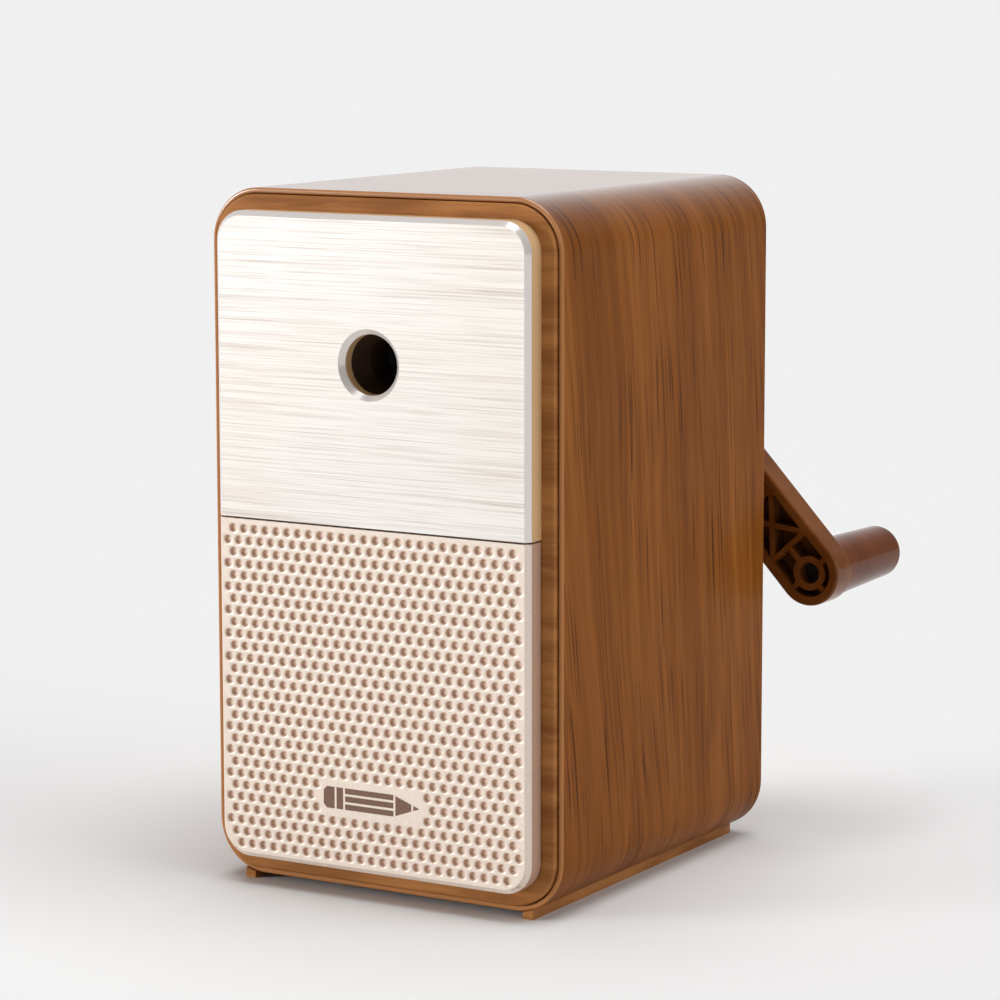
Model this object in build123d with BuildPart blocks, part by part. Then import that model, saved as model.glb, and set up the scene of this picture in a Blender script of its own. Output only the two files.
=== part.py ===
from build123d import *
import os
from math import acos, atan, cos, degrees, hypot, pi, radians, sin, tan

# Hand-cranked desktop pencil sharpener with a slide-out shavings drawer.
# Millimetres. The origin is on the table under the middle of the housing, +Z is up, and the
# front faces -Y.

# Housing
total_height = 125.0  # table to the top of the sleeve
body_width = 71.8
body_depth = 76.0  # the sleeve's front edge to its back edge
corner_radius = 9.5
sleeve_wall = 2.0
lip_wall = 1.0  # wall left around the rebate at each end
lip_rounding = 0.45
rebate_depth = 3.0
trim_groove = 0.12  # open joint between a lip and the moulding inside it
fit_gap = 0.15  # assembly clearance between mouldings
end_proud = 0.8  # front frame and rear cover stand ahead of the sleeve's edges
end_edge_rounding = 0.5
plate_thickness = 2.4  # front web and rear cover
skirt_wall = 1.4

# Foot rails
foot_height = 1.1  # the sleeve's clearance above the table
rail_outer_x = 30.1
rail_width = 2.0
rail_front_proud = 0.3
rail_back_inset = 1.8

# Front panels
panel_proud = 5.0  # panel faces ahead of the sleeve's front edge
panel_side_margin = 3.8
panel_top_margin = 3.75
panel_bottom_margin = 4.05
panel_radius = 5.5
panel_edge_chamfer = 0.9
panel_wall = 1.6
upper_face_height = 54.5
split_gap = 0.35
face_plate_thickness = 1.0
drawer_front_gap = 0.2  # closed drawer front to the frame's face
drawer_front_skin = 1.8
front_skirt_length = 6.0
back_skirt_length = 3.0

# Pencil opening
pencil_axis_below_top = 29.6
pencil_hole_radius = 5.35
pencil_hole_chamfer = 0.95
guide_bore_radius = 4.6
guide_mouth_radius = 6.6
guide_mouth_depth = 5.0
guide_tube_radius = 8.0
guide_flange_radius = 11.0
guide_flange_thickness = 1.3
guide_gap = 0.8  # guide to the turning journal behind it

# Shavings drawer and the bay it slides in
drawer_wall = 1.5
drawer_side_gap = 0.4
drawer_top_gap = 0.6
drawer_bottom_gap = 0.3
drawer_corner_radius = 2.5
drawer_length = 65.0  # frame face to the outside of the tray's back wall
bay_side_inset = 1.9  # panel edge to the bay opening in the web
bay_head = 2.4  # web between the split and the bay opening
bay_sill = 2.5  # web between the panel's lower edge and the bay opening
bay_corner_radius = 1.0
edge_match = 0.01  # how closely a round edge has to match a radius to be picked by it

# Chassis
chassis_wall = 1.6
deck_gap = 0.6  # bay opening to the deck's underside
deck_thickness = 2.0
bulkhead_thickness = 2.5
front_bulkhead_inset = 9.0  # sleeve's front edge to the front bulkhead
rear_bulkhead_inset = 7.0  # sleeve's back edge to the rear bulkhead
ledge_thickness = 1.5
ledge_width = 8.0
chute_half_width = 17.0
chute_length = 27.0
chute_setback = 1.0  # ring gear to the chute
guide_rib_thickness = 1.6
guide_rib_share = (0.25, 0.85)  # heights of the two drawer guide ribs in the bay

# Pencil point and cutter
tip_depth = 55.5  # panel face to the sharpened tip
tip_half_angle = 11.0
cutter_radius = 7.0
cutter_length = 28.0
cutter_past_tip = 1.0
cutter_blades = 14
cutter_blade_height = 0.9
cutter_twist = 120.0
blade_rake = 0.25  # from a blade's edge to the root ahead of it, in blade steps
neck_radius = 3.2
axle_radius = 1.6
bearing_gap = 0.05  # radial running clearance of every plain bearing
end_float = 0.35  # axial clearance of the turning pieces

# Planet gearing: the pinion on the cutter rolls inside a fixed bevel ring
ring_teeth = 38
pinion_teeth = 13
pressure_angle = 20.0
pinion_face_width = 5.0
pinion_gap = 0.6  # blades' end to the pinion
pinion_addendum = 0.9  # in modules, as the next three
pinion_dedendum = 1.15
ring_addendum = 0.8
ring_dedendum = 1.1
gear_backlash = 0.2  # taken off each side of the mesh at the pitch circle
flank_start = 0.02  # lowest point of a tooth's flank above the base circle
ring_face_width = 6.0
ring_rim = 3.9  # pitch circle to the ring's outside
cut_overrun = 1.0  # how far a tapering cut runs past the faces that it goes through

# Cutter carrier
journal_radius = 9.0
journal_bore_radius = 4.9
journal_length = 6.2
front_disc_radius = 17.0
front_disc_thickness = 2.8
cage_outer_radius = 12.0
cage_wall = 2.4
rear_block_radius = 13.0
rear_block_length = 4.6
axle_block_depth = 3.6
rear_hub_radius = 8.0
rear_hub_length = 5.0

# Gear housing and bushes
housing_wall = 1.8
housing_shoulder = 1.5
housing_face_thickness = 2.4
ear_radius = 3.4
ear_offset = 3.1  # drum's outside to the centres of the ear screws
ear_turn = 30.0  # ear screws above and below the level of the axis, degrees
ear_thickness = 3.0
bush_wall = 2.4
bush_flange_width = 1.4
bush_flange_thickness = 1.0
rear_bush_tail = 3.0

# Spindle and crank
spindle_radius = 4.0
spindle_square = 5.6
cover_boss_radius = 11.0
cover_boss_height = 3.2
cover_hole_gap = 1.0
arm_standoff = 6.0  # sleeve's back edge to the arm's inner face
arm_thickness = 6.3
arm_length = 62.0
arm_angle = -47.2  # at rest, from +X towards +Z
arm_hub_radius = 8.1
arm_neck_radius = 6.1  # half the arm's width where its straight sides run into the hub
arm_tip_radius = 6.2
arm_rim = 1.7
arm_skin = 1.6
arm_rib = 1.0
arm_rib_drop = 0.6
arm_rib_pitch = 10.5
arm_first_rib = 6.5  # knob axis to the nearest cross rib
arm_cells = 4
arm_edge_rounding = 0.5
arm_bush_radius = 3.3
hub_boss_radius = 7.0
hub_boss_gap = 0.6
hub_recess_radius = 5.0
hub_recess_depth = 1.7
crank_screw_head_radius = 4.6
crank_screw_length = 11.0

# Knob
knob_base_radius = 5.7
knob_end_radius = 5.0
knob_length = 25.0
knob_rounding = 1.3
knob_base_rounding = 0.5
knob_gap = 0.3
knob_pin_radius = 2.05
knob_pin_recess = 3.4
knob_pin_head_radius = 3.2
knob_pin_head_height = 1.4
knob_pocket_radius = 3.6
knob_pocket_depth = 3.4

# Screws
screw_radius = 1.25
screw_head_radius = 2.5
screw_head_height = 1.5
screw_slot_width = 0.5
screw_slot_depth = 0.9
boss_radius = 3.2
face_screw_inset = 11.0  # panel edges to the face screws
face_screw_bite = 1.8
frame_screw_inset = 8.8  # sleeve's outside to the frame screws
frame_screw_bite = 5.0
frame_screw_lift = 1.0  # deck to the bosses of the lower frame screws
cover_screw_inset = 10.9  # sleeve's outside to the rear cover screws
cover_screw_seat = 1.8  # depth of the recess for the head
cover_screw_length = 8.0
drawer_screw_inset = 8.3  # tray's inside to the drawer screws
drawer_screw_bite = 2.0
set_screw_below_rim = 0.6

# Heights and depths that follow
y_front = -body_depth / 2
y_back = body_depth / 2
y_panel = y_front - panel_proud
y_frame = y_front - end_proud
y_web = y_frame + plate_thickness
y_cover = y_back + end_proud
y_cover_inside = y_cover - plate_thickness
sleeve_height = total_height - foot_height
sleeve_middle = foot_height + sleeve_height / 2
panel_half_width = body_width / 2 - panel_side_margin
panel_top = total_height - panel_top_margin
panel_bottom = foot_height + panel_bottom_margin
split_z = panel_top - upper_face_height
upper_bottom = split_z + split_gap / 2
drawer_top = split_z - split_gap / 2
axis_z = total_height - pencil_axis_below_top
seat_inset = lip_wall + trim_groove
inside_inset = sleeve_wall + fit_gap
bay_half_width = panel_half_width - bay_side_inset
tray_half_width = bay_half_width - drawer_side_gap
bay_top = split_z - bay_head
bay_bottom = panel_bottom + bay_sill
deck_bottom = bay_top + deck_gap
deck_top = deck_bottom + deck_thickness
y_front_bulkhead = y_front + front_bulkhead_inset
y_rear_bulkhead = y_back - rear_bulkhead_inset

# Cutter geometry. The cutter's axis meets the pencil's axis at the apex, so its side lies along
# the pencil's cone, and places on the cutter's axis are distances from the apex. The ring gear ends
# ahead of the points where the cutter's end rim is as far from the pencil's axis as the ring's teeth.
tilt = radians(tip_half_angle)
y_tip = y_panel + tip_depth
y_apex = y_tip + cutter_radius / sin(tilt)
cutter_start = cutter_radius / tan(tilt) - cutter_past_tip
cutter_end = cutter_start + cutter_length
pinion_start = cutter_end + pinion_gap
pinion_end = pinion_start + pinion_face_width
pinion_middle = pinion_start + pinion_face_width / 2
pinion_cone = atan(sin(tilt) / (ring_teeth / pinion_teeth - cos(tilt)))
ring_cone = pinion_cone + tilt
pinion_pitch_radius = pinion_middle * tan(pinion_cone)
gear_module = 2 * pinion_pitch_radius / pinion_teeth
ring_pitch_radius = gear_module * ring_teeth / 2
y_mesh = y_apex - ring_pitch_radius / tan(ring_cone)
cutter_end_height = cutter_end * sin(tilt)
ring_tip_radius = (ring_pitch_radius - ring_addendum * gear_module) * cutter_end / pinion_middle
rim_reach = (ring_tip_radius**2 - cutter_end_height**2 - cutter_radius**2) / (2 * cutter_end_height)
y_ring_back = y_apex - cutter_end * cos(tilt) + rim_reach * sin(tilt) - end_float
y_ring_front = y_ring_back - ring_face_width
ring_outer_radius = ring_pitch_radius + ring_rim
pinion_tip_radius = pinion_pitch_radius + pinion_addendum * gear_module
pinion_end_radius = pinion_tip_radius * pinion_end / pinion_middle
pinion_front_low = y_apex - pinion_end * cos(tilt) - pinion_end_radius * sin(tilt)
y_disc_back = pinion_front_low - end_float
y_disc_front = y_disc_back - front_disc_thickness
y_journal = y_disc_front - journal_length
y_block_front = y_apex - cutter_start * cos(tilt) + cutter_radius * sin(tilt) + end_float
y_block_back = y_block_front + rear_block_length
y_hub_back = y_block_back + rear_hub_length
axle_front = (y_apex - y_disc_front) / cos(tilt) - axle_radius * tan(tilt) - fit_gap
axle_back = (y_apex - y_block_front - axle_block_depth) / cos(tilt)
y_set_screw = y_block_front + rear_block_length / 2

# Gear housing and crank depths
y_housing = y_front_bulkhead + bulkhead_thickness
y_housing_inside = y_housing + housing_face_thickness
front_bush_radius = journal_radius + bearing_gap + bush_wall
rear_bush_radius = spindle_radius + bearing_gap + bush_wall
housing_radius = ring_outer_radius + housing_wall
ear_pitch_radius = housing_radius + ear_offset
y_arm = y_back + arm_standoff
y_arm_outside = y_arm + arm_thickness
y_boss = y_cover + cover_boss_height + hub_boss_gap
y_hub_seat = y_arm_outside - hub_recess_depth
knob_x = arm_length * cos(radians(arm_angle))
knob_z = axis_z + arm_length * sin(radians(arm_angle))
y_knob = y_arm_outside + knob_gap
y_knob_end = y_knob + knob_length

os.makedirs("parts", exist_ok=True)


def at_y(y):
    """Cross-section plane at depth y: local x is X, local y is Z, and it faces the front."""
    return Plane.XZ.offset(-y)


def round_axis(x, y, z):
    """Cross-section plane at depth y with its centre on a fore-and-aft axis through x, z."""
    return Plane(origin=(x, y, z), x_dir=(1, 0, 0), z_dir=(0, -1, 0))


def on_cutter_axis(distance):
    """Plane square to the cutter's axis, this far from the apex. Local y points outwards."""
    centre = (0, y_apex - distance * cos(tilt), axis_z + distance * sin(tilt))
    return Plane(origin=centre, x_dir=(1, 0, 0), z_dir=(0, -cos(tilt), sin(tilt)))


def finish(piece, label):
    """Label a finished piece and write its STEP."""
    piece.part.label = label
    export_step(piece.part, f"parts/{label}.step")


def end_outline(inset, mode=Mode.ADD):
    """The housing's cross-section, stepped in from the sleeve's outside by inset."""
    with Locations((0, sleeve_middle)):
        RectangleRounded(
            body_width - 2 * inset, sleeve_height - 2 * inset, corner_radius - inset, mode=mode
        )


def band(bottom, top, half_width=body_width, mode=Mode.INTERSECT):
    """A level band of the cross-section between two heights."""
    with Locations((0, (bottom + top) / 2)):
        Rectangle(2 * half_width, top - bottom, mode=mode)


def upper_outline(inset=0.0, mode=Mode.ADD):
    """The upper face's outline: rounded above, square along the split."""
    low, high = upper_bottom + inset, panel_top - inset
    half = panel_half_width - inset
    with Locations((0, (low + high) / 2)):
        RectangleRounded(2 * half, high - low, panel_radius - inset, mode=mode)
    with Locations((0, low)):
        Rectangle(2 * half, (high - low) / 2, align=(Align.CENTER, Align.MIN), mode=mode)


def drawer_outline(inset=0.0, mode=Mode.ADD):
    """The drawer front's outline: square along the split, rounded below."""
    low, high = panel_bottom + inset, drawer_top - inset
    half = panel_half_width - inset
    with Locations((0, (low + high) / 2)):
        RectangleRounded(2 * half, high - low, panel_radius - inset, mode=mode)
    with Locations((0, high)):
        Rectangle(2 * half, (high - low) / 2, align=(Align.CENTER, Align.MAX), mode=mode)


def mirrored(x, heights):
    """Places at plus and minus x, at each of the heights."""
    return [(side * x, z) for side in (-1, 1) for z in heights]


def round_edges(piece, radius):
    """The piece's round edges of this radius."""
    return piece.edges().filter_by(GeomType.CIRCLE).filter_by(lambda e: abs(e.radius - radius) < edge_match)


def screws(places, y_seat, length, head_radius=screw_head_radius):
    """Pan-head screws driven towards the front: heads behind y_seat, shanks ahead of it."""
    with BuildPart() as group:
        for x, z in places:
            seat = Plane(origin=(x, y_seat, z), x_dir=(1, 0, 0), z_dir=(0, 1, 0))
            with BuildSketch(seat):
                Circle(head_radius)
            extrude(amount=screw_head_height)
            with BuildSketch(seat.offset(screw_head_height)):
                Rectangle(screw_slot_width, head_radius)
                Rectangle(head_radius, screw_slot_width)
            extrude(amount=-screw_slot_depth, mode=Mode.SUBTRACT)
            with BuildSketch(seat):
                Circle(screw_radius)
            extrude(amount=-length)
    return group


def involute(angle):
    return tan(angle) - angle


def gear_points(teeth, pitch_radius, low, high, thinning, scale):
    """Corner points of an outline with involute teeth between radii low and high.

    The tooth at the top is centred on local y. Thinning is what each tooth loses at the pitch
    circle, and scale shrinks the outline towards the cone's apex.
    """
    base = pitch_radius * cos(radians(pressure_angle))
    half_tooth = (pi / teeth - thinning / pitch_radius) / 2
    middle = half_tooth + involute(radians(pressure_angle))
    start = max(low, base)
    radii = [low, start + flank_start, (start + high) / 2, high]
    flank = [(r, middle - involute(acos(min(1, base / r)))) for r in radii]
    points = []
    for tooth in range(teeth):
        centre = pi / 2 + 2 * pi * tooth / teeth
        sides = [(r, centre - a) for r, a in flank] + [(r, centre + a) for r, a in reversed(flank)]
        points += [(scale * r * cos(a), scale * r * sin(a)) for r, a in sides]
    return points


face_screw_places = mirrored(panel_half_width - face_screw_inset,
                             (upper_bottom + face_screw_inset, panel_top - face_screw_inset))
frame_screw_places = mirrored(body_width / 2 - frame_screw_inset,
                              (deck_top + boss_radius + frame_screw_lift, total_height - frame_screw_inset))
cover_screw_places = mirrored(body_width / 2 - cover_screw_inset,
                              (foot_height + cover_screw_inset, total_height - cover_screw_inset))
drawer_screw_places = mirrored(tray_half_width - drawer_wall - drawer_screw_inset,
                               ((bay_bottom + bay_top) / 2,))
ear_rise = ear_pitch_radius * sin(radians(ear_turn))
ear_places = mirrored(ear_pitch_radius * cos(radians(ear_turn)), (axis_z - ear_rise, axis_z + ear_rise))

# Sleeve: the wood-effect tube, with a rebate at each end for the mouldings that close it
with BuildPart() as sleeve:
    with BuildSketch(at_y(y_back)):
        end_outline(0)
        end_outline(sleeve_wall, mode=Mode.SUBTRACT)
    extrude(amount=body_depth)
    for y_end, inwards in ((y_front, -1), (y_back, 1)):
        with BuildSketch(at_y(y_end)):
            end_outline(lip_wall)
        extrude(amount=inwards * rebate_depth, mode=Mode.SUBTRACT)
    rims = sleeve.faces().filter_by(Axis.Y).group_by(Axis.Y)
    fillet(rims[0].edges() + rims[-1].edges(), lip_rounding)
finish(sleeve, "sleeve")

# Foot rails: two strips under the sleeve, cut to its lower corners
for side, label in ((-1, "foot_rail_left"), (1, "foot_rail_right")):
    with BuildPart() as foot_rail:
        with BuildSketch(at_y(y_back - rail_back_inset)):
            with Locations((side * (rail_outer_x - rail_width / 2), 0)):
                Rectangle(rail_width, corner_radius, align=(Align.CENTER, Align.MIN))
            end_outline(0, mode=Mode.SUBTRACT)
        extrude(amount=body_depth - rail_back_inset + rail_front_proud)
    finish(foot_rail, label)

# Front frame: the rim round both panels, the web behind them and the skirt inside the sleeve
with BuildPart() as front_frame:
    with BuildSketch(at_y(y_web)):
        end_outline(seat_inset)
    extrude(amount=plate_thickness)
    fillet(front_frame.faces().sort_by(Axis.Y)[0].edges(), end_edge_rounding)
    with BuildSketch(at_y(y_front + rebate_depth)):
        end_outline(seat_inset)
        end_outline(inside_inset + skirt_wall, mode=Mode.SUBTRACT)
    extrude(amount=rebate_depth - plate_thickness + end_proud)
    with BuildSketch(at_y(y_front + rebate_depth + front_skirt_length)):
        end_outline(inside_inset)
        end_outline(inside_inset + skirt_wall, mode=Mode.SUBTRACT)
    extrude(amount=front_skirt_length)
    with BuildSketch(at_y(y_front_bulkhead)):
        with Locations(*frame_screw_places):
            Circle(boss_radius)
        end_outline(inside_inset, mode=Mode.INTERSECT)
    extrude(amount=y_front_bulkhead - y_web)
    with BuildSketch(at_y(y_front_bulkhead)):
        with Locations(*frame_screw_places):
            Circle(screw_radius)
    extrude(amount=frame_screw_bite + fit_gap, mode=Mode.SUBTRACT)
    with BuildSketch(at_y(y_web)):
        with Locations((0, (bay_bottom + bay_top) / 2)):
            RectangleRounded(2 * bay_half_width, bay_top - bay_bottom, bay_corner_radius)
        with Locations((0, axis_z)):
            Circle(guide_tube_radius)
        with Locations(*face_screw_places):
            Circle(screw_radius + fit_gap)
    extrude(amount=plate_thickness, mode=Mode.SUBTRACT)
finish(front_frame, "front_frame")

# Face carrier: the hollow moulding that holds the upper face plate off the frame
carrier_back = y_frame
carrier_front = y_panel + face_plate_thickness
with BuildPart() as face_carrier:
    with BuildSketch(at_y(carrier_back)):
        upper_outline()
    extrude(amount=carrier_back - carrier_front)
    with BuildSketch(at_y(carrier_back)):
        upper_outline(panel_wall)
        with Locations(*face_screw_places):
            Circle(boss_radius, mode=Mode.SUBTRACT)
    extrude(amount=guide_flange_thickness, mode=Mode.SUBTRACT)
    with BuildSketch(at_y(carrier_back)):
        with Locations(*face_screw_places):
            Circle(screw_radius)
    extrude(amount=face_screw_bite + fit_gap, mode=Mode.SUBTRACT)
    with BuildSketch(at_y(carrier_back)):
        with Locations((0, axis_z)):
            Circle(pencil_hole_radius)
    extrude(amount=carrier_back - carrier_front, mode=Mode.SUBTRACT)
finish(face_carrier, "face_carrier")

# Face plate: the thin brushed plate, with a cut bevel round three sides and round the hole
with BuildPart() as face_plate:
    with BuildSketch(at_y(carrier_front)):
        upper_outline()
    extrude(amount=face_plate_thickness)
    outside = face_plate.faces().sort_by(Axis.Y)[0].edges()
    chamfer(outside.sort_by(Axis.Z)[1:], panel_edge_chamfer)
    with BuildSketch(at_y(carrier_front)):
        with Locations((0, axis_z)):
            Circle(pencil_hole_radius)
    extrude(amount=face_plate_thickness, mode=Mode.SUBTRACT)
    chamfer(round_edges(face_plate, pencil_hole_radius).sort_by(Axis.Y)[0], pencil_hole_chamfer)
finish(face_plate, "face_plate")

# Pencil guide: a flanged funnel through the web that centres the pencil on the cutter
guide_front = y_frame - guide_flange_thickness
guide_back = y_journal - guide_gap
with BuildPart() as pencil_guide:
    with BuildSketch(Plane(origin=(0, 0, axis_z), x_dir=(1, 0, 0), z_dir=(0, 0, 1))):
        with BuildLine():
            Polyline(
                (guide_mouth_radius, guide_front),
                (guide_flange_radius, guide_front),
                (guide_flange_radius, y_frame),
                (guide_tube_radius, y_frame),
                (guide_tube_radius, guide_back),
                (guide_bore_radius, guide_back),
                (guide_bore_radius, guide_front + guide_mouth_depth),
                close=True,
            )
        make_face()
    revolve(axis=Axis((0, 0, axis_z), (0, 1, 0)))
finish(pencil_guide, "pencil_guide")

# Drawer tray
tray_bottom = bay_bottom + drawer_bottom_gap
tray_top = bay_top - drawer_top_gap
tray_front = y_frame - drawer_front_gap
tray_back = y_frame + drawer_length
tray_front_wall = drawer_wall + drawer_front_gap
with BuildPart() as drawer_tray:
    with BuildSketch(Plane.XY.offset(tray_bottom)):
        with Locations((0, (tray_front + tray_back) / 2)):
            Rectangle(2 * tray_half_width, tray_back - tray_front)
    extrude(amount=tray_top - tray_bottom)
    fillet(drawer_tray.edges().filter_by(Axis.Y).group_by(Axis.Z)[0], drawer_corner_radius)
    with BuildSketch(Plane.XY.offset(tray_bottom + drawer_wall)):
        with Locations((0, (tray_front + tray_front_wall + tray_back - drawer_wall) / 2)):
            RectangleRounded(2 * (tray_half_width - drawer_wall),
                             tray_back - drawer_wall - tray_front - tray_front_wall, drawer_corner_radius)
    extrude(amount=tray_top - tray_bottom, mode=Mode.SUBTRACT)
    with BuildSketch(at_y(tray_front + tray_front_wall)):
        with Locations(*drawer_screw_places):
            Circle(screw_radius + fit_gap)
    extrude(amount=tray_front_wall, mode=Mode.SUBTRACT)
finish(drawer_tray, "drawer_tray")

# Drawer front: the lower panel, hollow behind, with two bosses for its screws
with BuildPart() as drawer_front:
    with BuildSketch(at_y(tray_front)):
        drawer_outline()
    extrude(amount=tray_front - y_panel)
    outside = drawer_front.faces().sort_by(Axis.Y)[0].edges()
    chamfer(outside.sort_by(Axis.Z)[:-1], panel_edge_chamfer)
    with BuildSketch(at_y(tray_front)):
        drawer_outline(panel_wall)
        with Locations(*drawer_screw_places):
            Circle(boss_radius, mode=Mode.SUBTRACT)
    extrude(amount=tray_front - y_panel - drawer_front_skin, mode=Mode.SUBTRACT)
    with BuildSketch(at_y(tray_front)):
        with Locations(*drawer_screw_places):
            Circle(screw_radius)
    extrude(amount=drawer_screw_bite + fit_gap, mode=Mode.SUBTRACT)
finish(drawer_front, "drawer_front")

# Chassis: bay walls, ledges and deck as one section, with a bulkhead at each end
wall_inside = body_width / 2 - inside_inset - chassis_wall
chute_front = y_ring_back + chute_setback
with BuildPart() as chassis:
    with BuildSketch(at_y(y_rear_bulkhead)):
        end_outline(inside_inset)
        band(bay_bottom - ledge_thickness, deck_top)
        band(bay_bottom, deck_bottom, wall_inside, mode=Mode.SUBTRACT)
        band(0, bay_bottom, wall_inside - ledge_width, mode=Mode.SUBTRACT)
    extrude(amount=y_rear_bulkhead - y_front_bulkhead)
    for share in guide_rib_share:
        rib_middle = bay_bottom + share * (bay_top - bay_bottom)
        with BuildSketch(at_y(y_rear_bulkhead)):
            band(rib_middle - guide_rib_thickness / 2, rib_middle + guide_rib_thickness / 2,
                 wall_inside, mode=Mode.ADD)
            band(bay_bottom, bay_top, bay_half_width, mode=Mode.SUBTRACT)
        extrude(amount=y_rear_bulkhead - y_front_bulkhead)
    with BuildSketch(Plane.XY.offset(deck_top)):
        with Locations((0, chute_front + chute_length / 2)):
            Rectangle(2 * chute_half_width, chute_length)
    extrude(amount=-deck_thickness, mode=Mode.SUBTRACT)
    with BuildSketch(at_y(y_housing)):
        end_outline(inside_inset)
        band(deck_bottom, total_height)
    extrude(amount=bulkhead_thickness)
    with BuildSketch(at_y(y_rear_bulkhead)):
        end_outline(inside_inset)
        band(bay_bottom - ledge_thickness, total_height)
    extrude(amount=bulkhead_thickness)
    with BuildSketch(at_y(y_cover_inside - cover_screw_seat)):
        with Locations(*cover_screw_places):
            Circle(boss_radius)
        end_outline(inside_inset + skirt_wall + fit_gap, mode=Mode.INTERSECT)
    extrude(amount=y_cover_inside - cover_screw_seat - y_rear_bulkhead)
    with BuildSketch(at_y(y_cover_inside - cover_screw_seat)):
        with Locations(*cover_screw_places):
            Circle(screw_radius)
    extrude(amount=cover_screw_length, mode=Mode.SUBTRACT)
    with BuildSketch(at_y(y_housing)):
        with Locations((0, axis_z)):
            Circle(front_bush_radius)
        with Locations(*frame_screw_places):
            Circle(screw_radius + fit_gap)
        with Locations(*ear_places):
            Circle(screw_radius)
    extrude(amount=bulkhead_thickness, mode=Mode.SUBTRACT)
    with BuildSketch(at_y(y_rear_bulkhead)):
        with Locations((0, axis_z)):
            Circle(rear_bush_radius)
    extrude(amount=bulkhead_thickness, mode=Mode.SUBTRACT)
finish(chassis, "chassis")

# Gear housing: a drum on the front bulkhead that holds the ring gear and the front bush
with BuildPart() as gear_housing:
    with BuildSketch(round_axis(0, y_ring_back, axis_z)):
        Circle(housing_radius)
    extrude(amount=y_ring_back - y_housing)
    with BuildSketch(at_y(y_housing + ear_thickness)):
        with Locations(*ear_places):
            Circle(ear_radius)
        with Locations((0, axis_z)):
            for turn in (ear_turn, -ear_turn):
                Rectangle(2 * ear_pitch_radius, 2 * ear_radius, rotation=turn)
    extrude(amount=ear_thickness)
    with BuildSketch(round_axis(0, y_ring_back, axis_z)):
        Circle(ring_outer_radius)
    extrude(amount=ring_face_width, mode=Mode.SUBTRACT)
    with BuildSketch(round_axis(0, y_ring_front, axis_z)):
        Circle(ring_outer_radius - housing_shoulder)
    extrude(amount=y_ring_front - y_housing_inside, mode=Mode.SUBTRACT)
    with BuildSketch(at_y(y_housing + ear_thickness)):
        with Locations((0, axis_z)):
            Circle(front_bush_radius)
        with Locations(*ear_places):
            Circle(screw_radius + fit_gap)
    extrude(amount=ear_thickness, mode=Mode.SUBTRACT)
finish(gear_housing, "gear_housing")

# Front bush: carries the carrier's journal, through the housing and the bulkhead
with BuildPart() as front_bush:
    with BuildSketch(round_axis(0, y_housing_inside, axis_z)):
        Circle(front_bush_radius)
    extrude(amount=y_housing_inside - y_front_bulkhead)
    with BuildSketch(round_axis(0, y_housing_inside + bush_flange_thickness, axis_z)):
        Circle(front_bush_radius + bush_flange_width)
    extrude(amount=bush_flange_thickness)
    with BuildSketch(round_axis(0, y_housing_inside + bush_flange_thickness, axis_z)):
        Circle(journal_radius + bearing_gap)
    extrude(amount=y_housing_inside + bush_flange_thickness - y_front_bulkhead, mode=Mode.SUBTRACT)
finish(front_bush, "front_bush")

# Ring gear: fixed internal bevel gear, its teeth narrowing towards the apex
with BuildPart() as ring_gear:
    with BuildSketch(round_axis(0, y_ring_back, axis_z)):
        Circle(ring_outer_radius)
    extrude(amount=ring_face_width)
    for y_end in (y_ring_front - cut_overrun, y_ring_back + cut_overrun):
        size = (y_apex - y_end) / (y_apex - y_mesh)
        with BuildSketch(round_axis(0, y_end, axis_z)):
            with BuildLine():
                Polyline(
                    *gear_points(
                        ring_teeth,
                        ring_pitch_radius,
                        ring_pitch_radius - ring_addendum * gear_module,
                        ring_pitch_radius + ring_dedendum * gear_module,
                        -gear_backlash,
                        size,
                    ),
                    close=True,
                )
            make_face()
    loft(ruled=True, mode=Mode.SUBTRACT)
finish(ring_gear, "ring_gear")

# Cutter carrier: journal, front disc, open cage under the pencil, rear block and hub
with BuildPart() as cutter_carrier:
    with BuildSketch(round_axis(0, y_disc_front, axis_z)):
        Circle(journal_radius)
    extrude(amount=journal_length)
    with BuildSketch(round_axis(0, y_disc_back, axis_z)):
        Circle(front_disc_radius)
    extrude(amount=front_disc_thickness)
    with BuildSketch(round_axis(0, y_block_front, axis_z)):
        Circle(cage_outer_radius)
        Circle(cage_outer_radius - cage_wall, mode=Mode.SUBTRACT)
        with Locations((0, -cage_outer_radius)):
            Rectangle(2 * cage_outer_radius, 2 * cage_outer_radius - cage_wall, mode=Mode.INTERSECT)
    extrude(amount=y_block_front - y_disc_back)
    with BuildSketch(round_axis(0, y_block_back, axis_z)):
        Circle(rear_block_radius)
    extrude(amount=rear_block_length)
    with BuildSketch(round_axis(0, y_hub_back, axis_z)):
        Circle(rear_hub_radius)
    extrude(amount=rear_hub_length)
    with BuildSketch(round_axis(0, y_hub_back, axis_z)):
        Circle(spindle_radius)
    extrude(amount=rear_hub_length, mode=Mode.SUBTRACT)
    with BuildSketch(round_axis(0, y_disc_back, axis_z)):
        Circle(journal_bore_radius)
    extrude(amount=front_disc_thickness + journal_length, mode=Mode.SUBTRACT)
    with BuildSketch(on_cutter_axis(axle_back)):
        Circle(axle_radius)
    extrude(amount=cutter_start - axle_back, mode=Mode.SUBTRACT)
    with BuildSketch(on_cutter_axis(pinion_end)):
        Circle(axle_radius)
    extrude(amount=axle_front + axle_radius - pinion_end, mode=Mode.SUBTRACT)
    with BuildSketch(Plane.XY.offset(axis_z + rear_block_radius)):
        with Locations((0, y_set_screw)):
            Circle(screw_radius)
    extrude(amount=-rear_block_radius + (y_apex - y_set_screw) * tan(tilt), mode=Mode.SUBTRACT)
finish(cutter_carrier, "cutter_carrier")

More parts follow.
